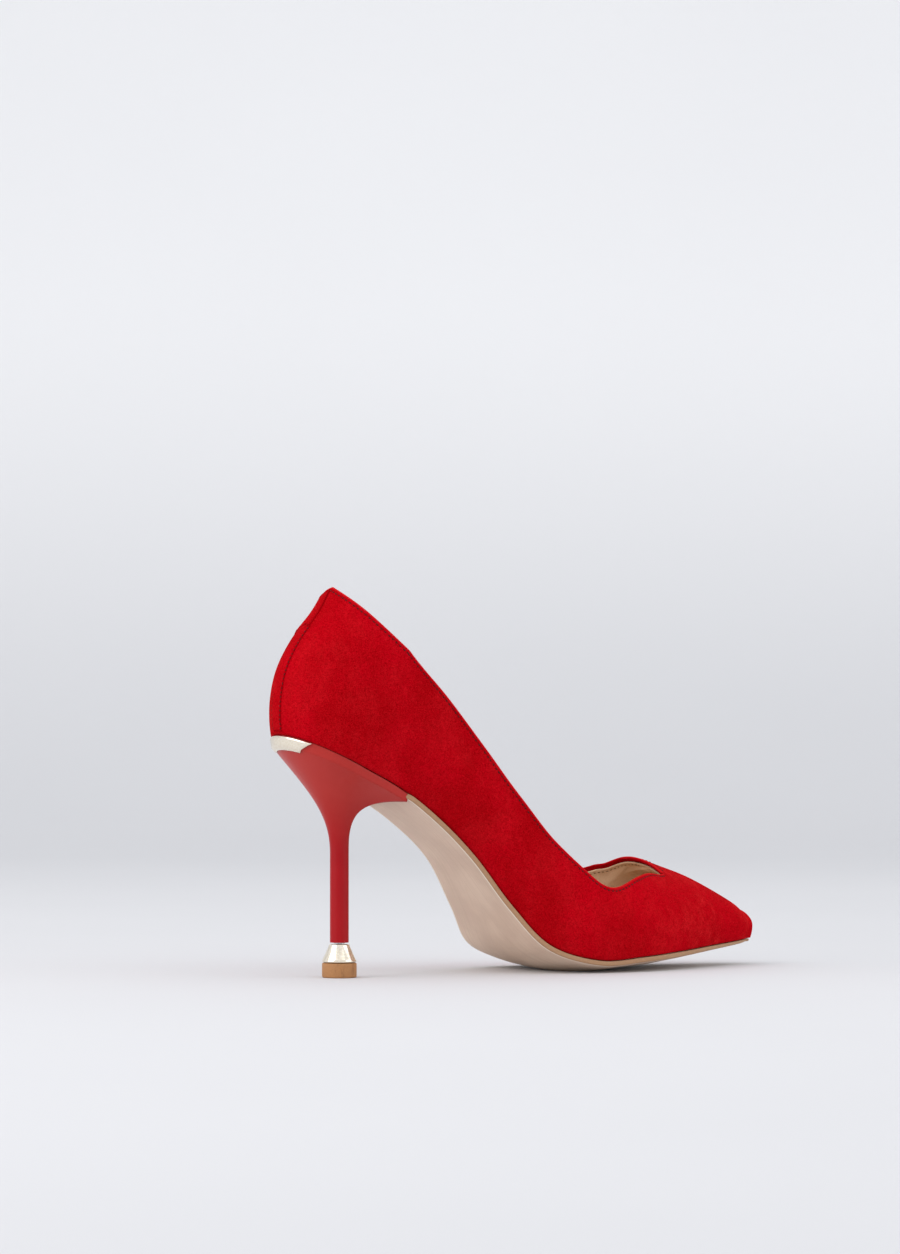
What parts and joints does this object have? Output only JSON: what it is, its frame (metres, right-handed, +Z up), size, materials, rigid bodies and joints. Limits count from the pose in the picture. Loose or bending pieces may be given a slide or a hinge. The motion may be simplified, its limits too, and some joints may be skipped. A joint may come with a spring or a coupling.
{
  "type": "high heel pump",
  "caption": "Pointed-toe suede pump for the right foot, with a V-cut vamp, a slim stiletto heel, a gold back plate and a gold collar above its rubber top piece.",
  "frame": {"origin": "middle of the bounding box, at floor level", "axes": "+X from the heel to the toe, +Y to the inner (medial) side of the foot, +Z up"},
  "size_m": [0.2322, 0.0732, 0.158],
  "materials": {
    "suede": "napped red suede",
    "lining_leather": "smooth tan lining leather",
    "sole_leather": "pale smooth sole leather with a brown edge",
    "fibre_board": "dense brown fibre board",
    "stiffener": "resin-stiffened cloth",
    "interlining_cloth": "woven cotton",
    "cork": "granulated cork",
    "foam": "soft open foam",
    "heel_lacquer": "satin brick-red lacquer on moulded plastic",
    "gold_plating": "pale gold plating, polished",
    "top_piece_rubber": "caramel brown hard rubber",
    "steel": "plain steel"
  },
  "bodies": {
    "root": {"vamp": "suede", "medial_quarter": "suede", "back_strip": "suede", "back_tab": "suede", "heel_counter": "stiffener", "interlining": "interlining_cloth", "toe_puff": "stiffener", "quarter_lining": "lining_leather", "vamp_lining": "lining_leather", "insole_board": "fibre_board", "shank": "steel", "bottom_filler": "cork", "sock_foam": "foam", "sock": "lining_leather", "outsole": "sole_leather", "heel_block": "heel_lacquer", "back_plate": "gold_plating", "heel_tube": "steel", "heel_collar": "gold_plating", "top_piece": "top_piece_rubber", "top_piece_pin": "steel", "heel_screw": "steel", "heel_nail_back": "steel", "heel_nail_outer_rear": "steel", "heel_nail_inner_rear": "steel", "heel_nail_outer_front": "steel", "heel_nail_inner_front": "steel", "shank_rivet_rear": "steel", "shank_rivet_front": "steel"}
  },
  "joints": []
}
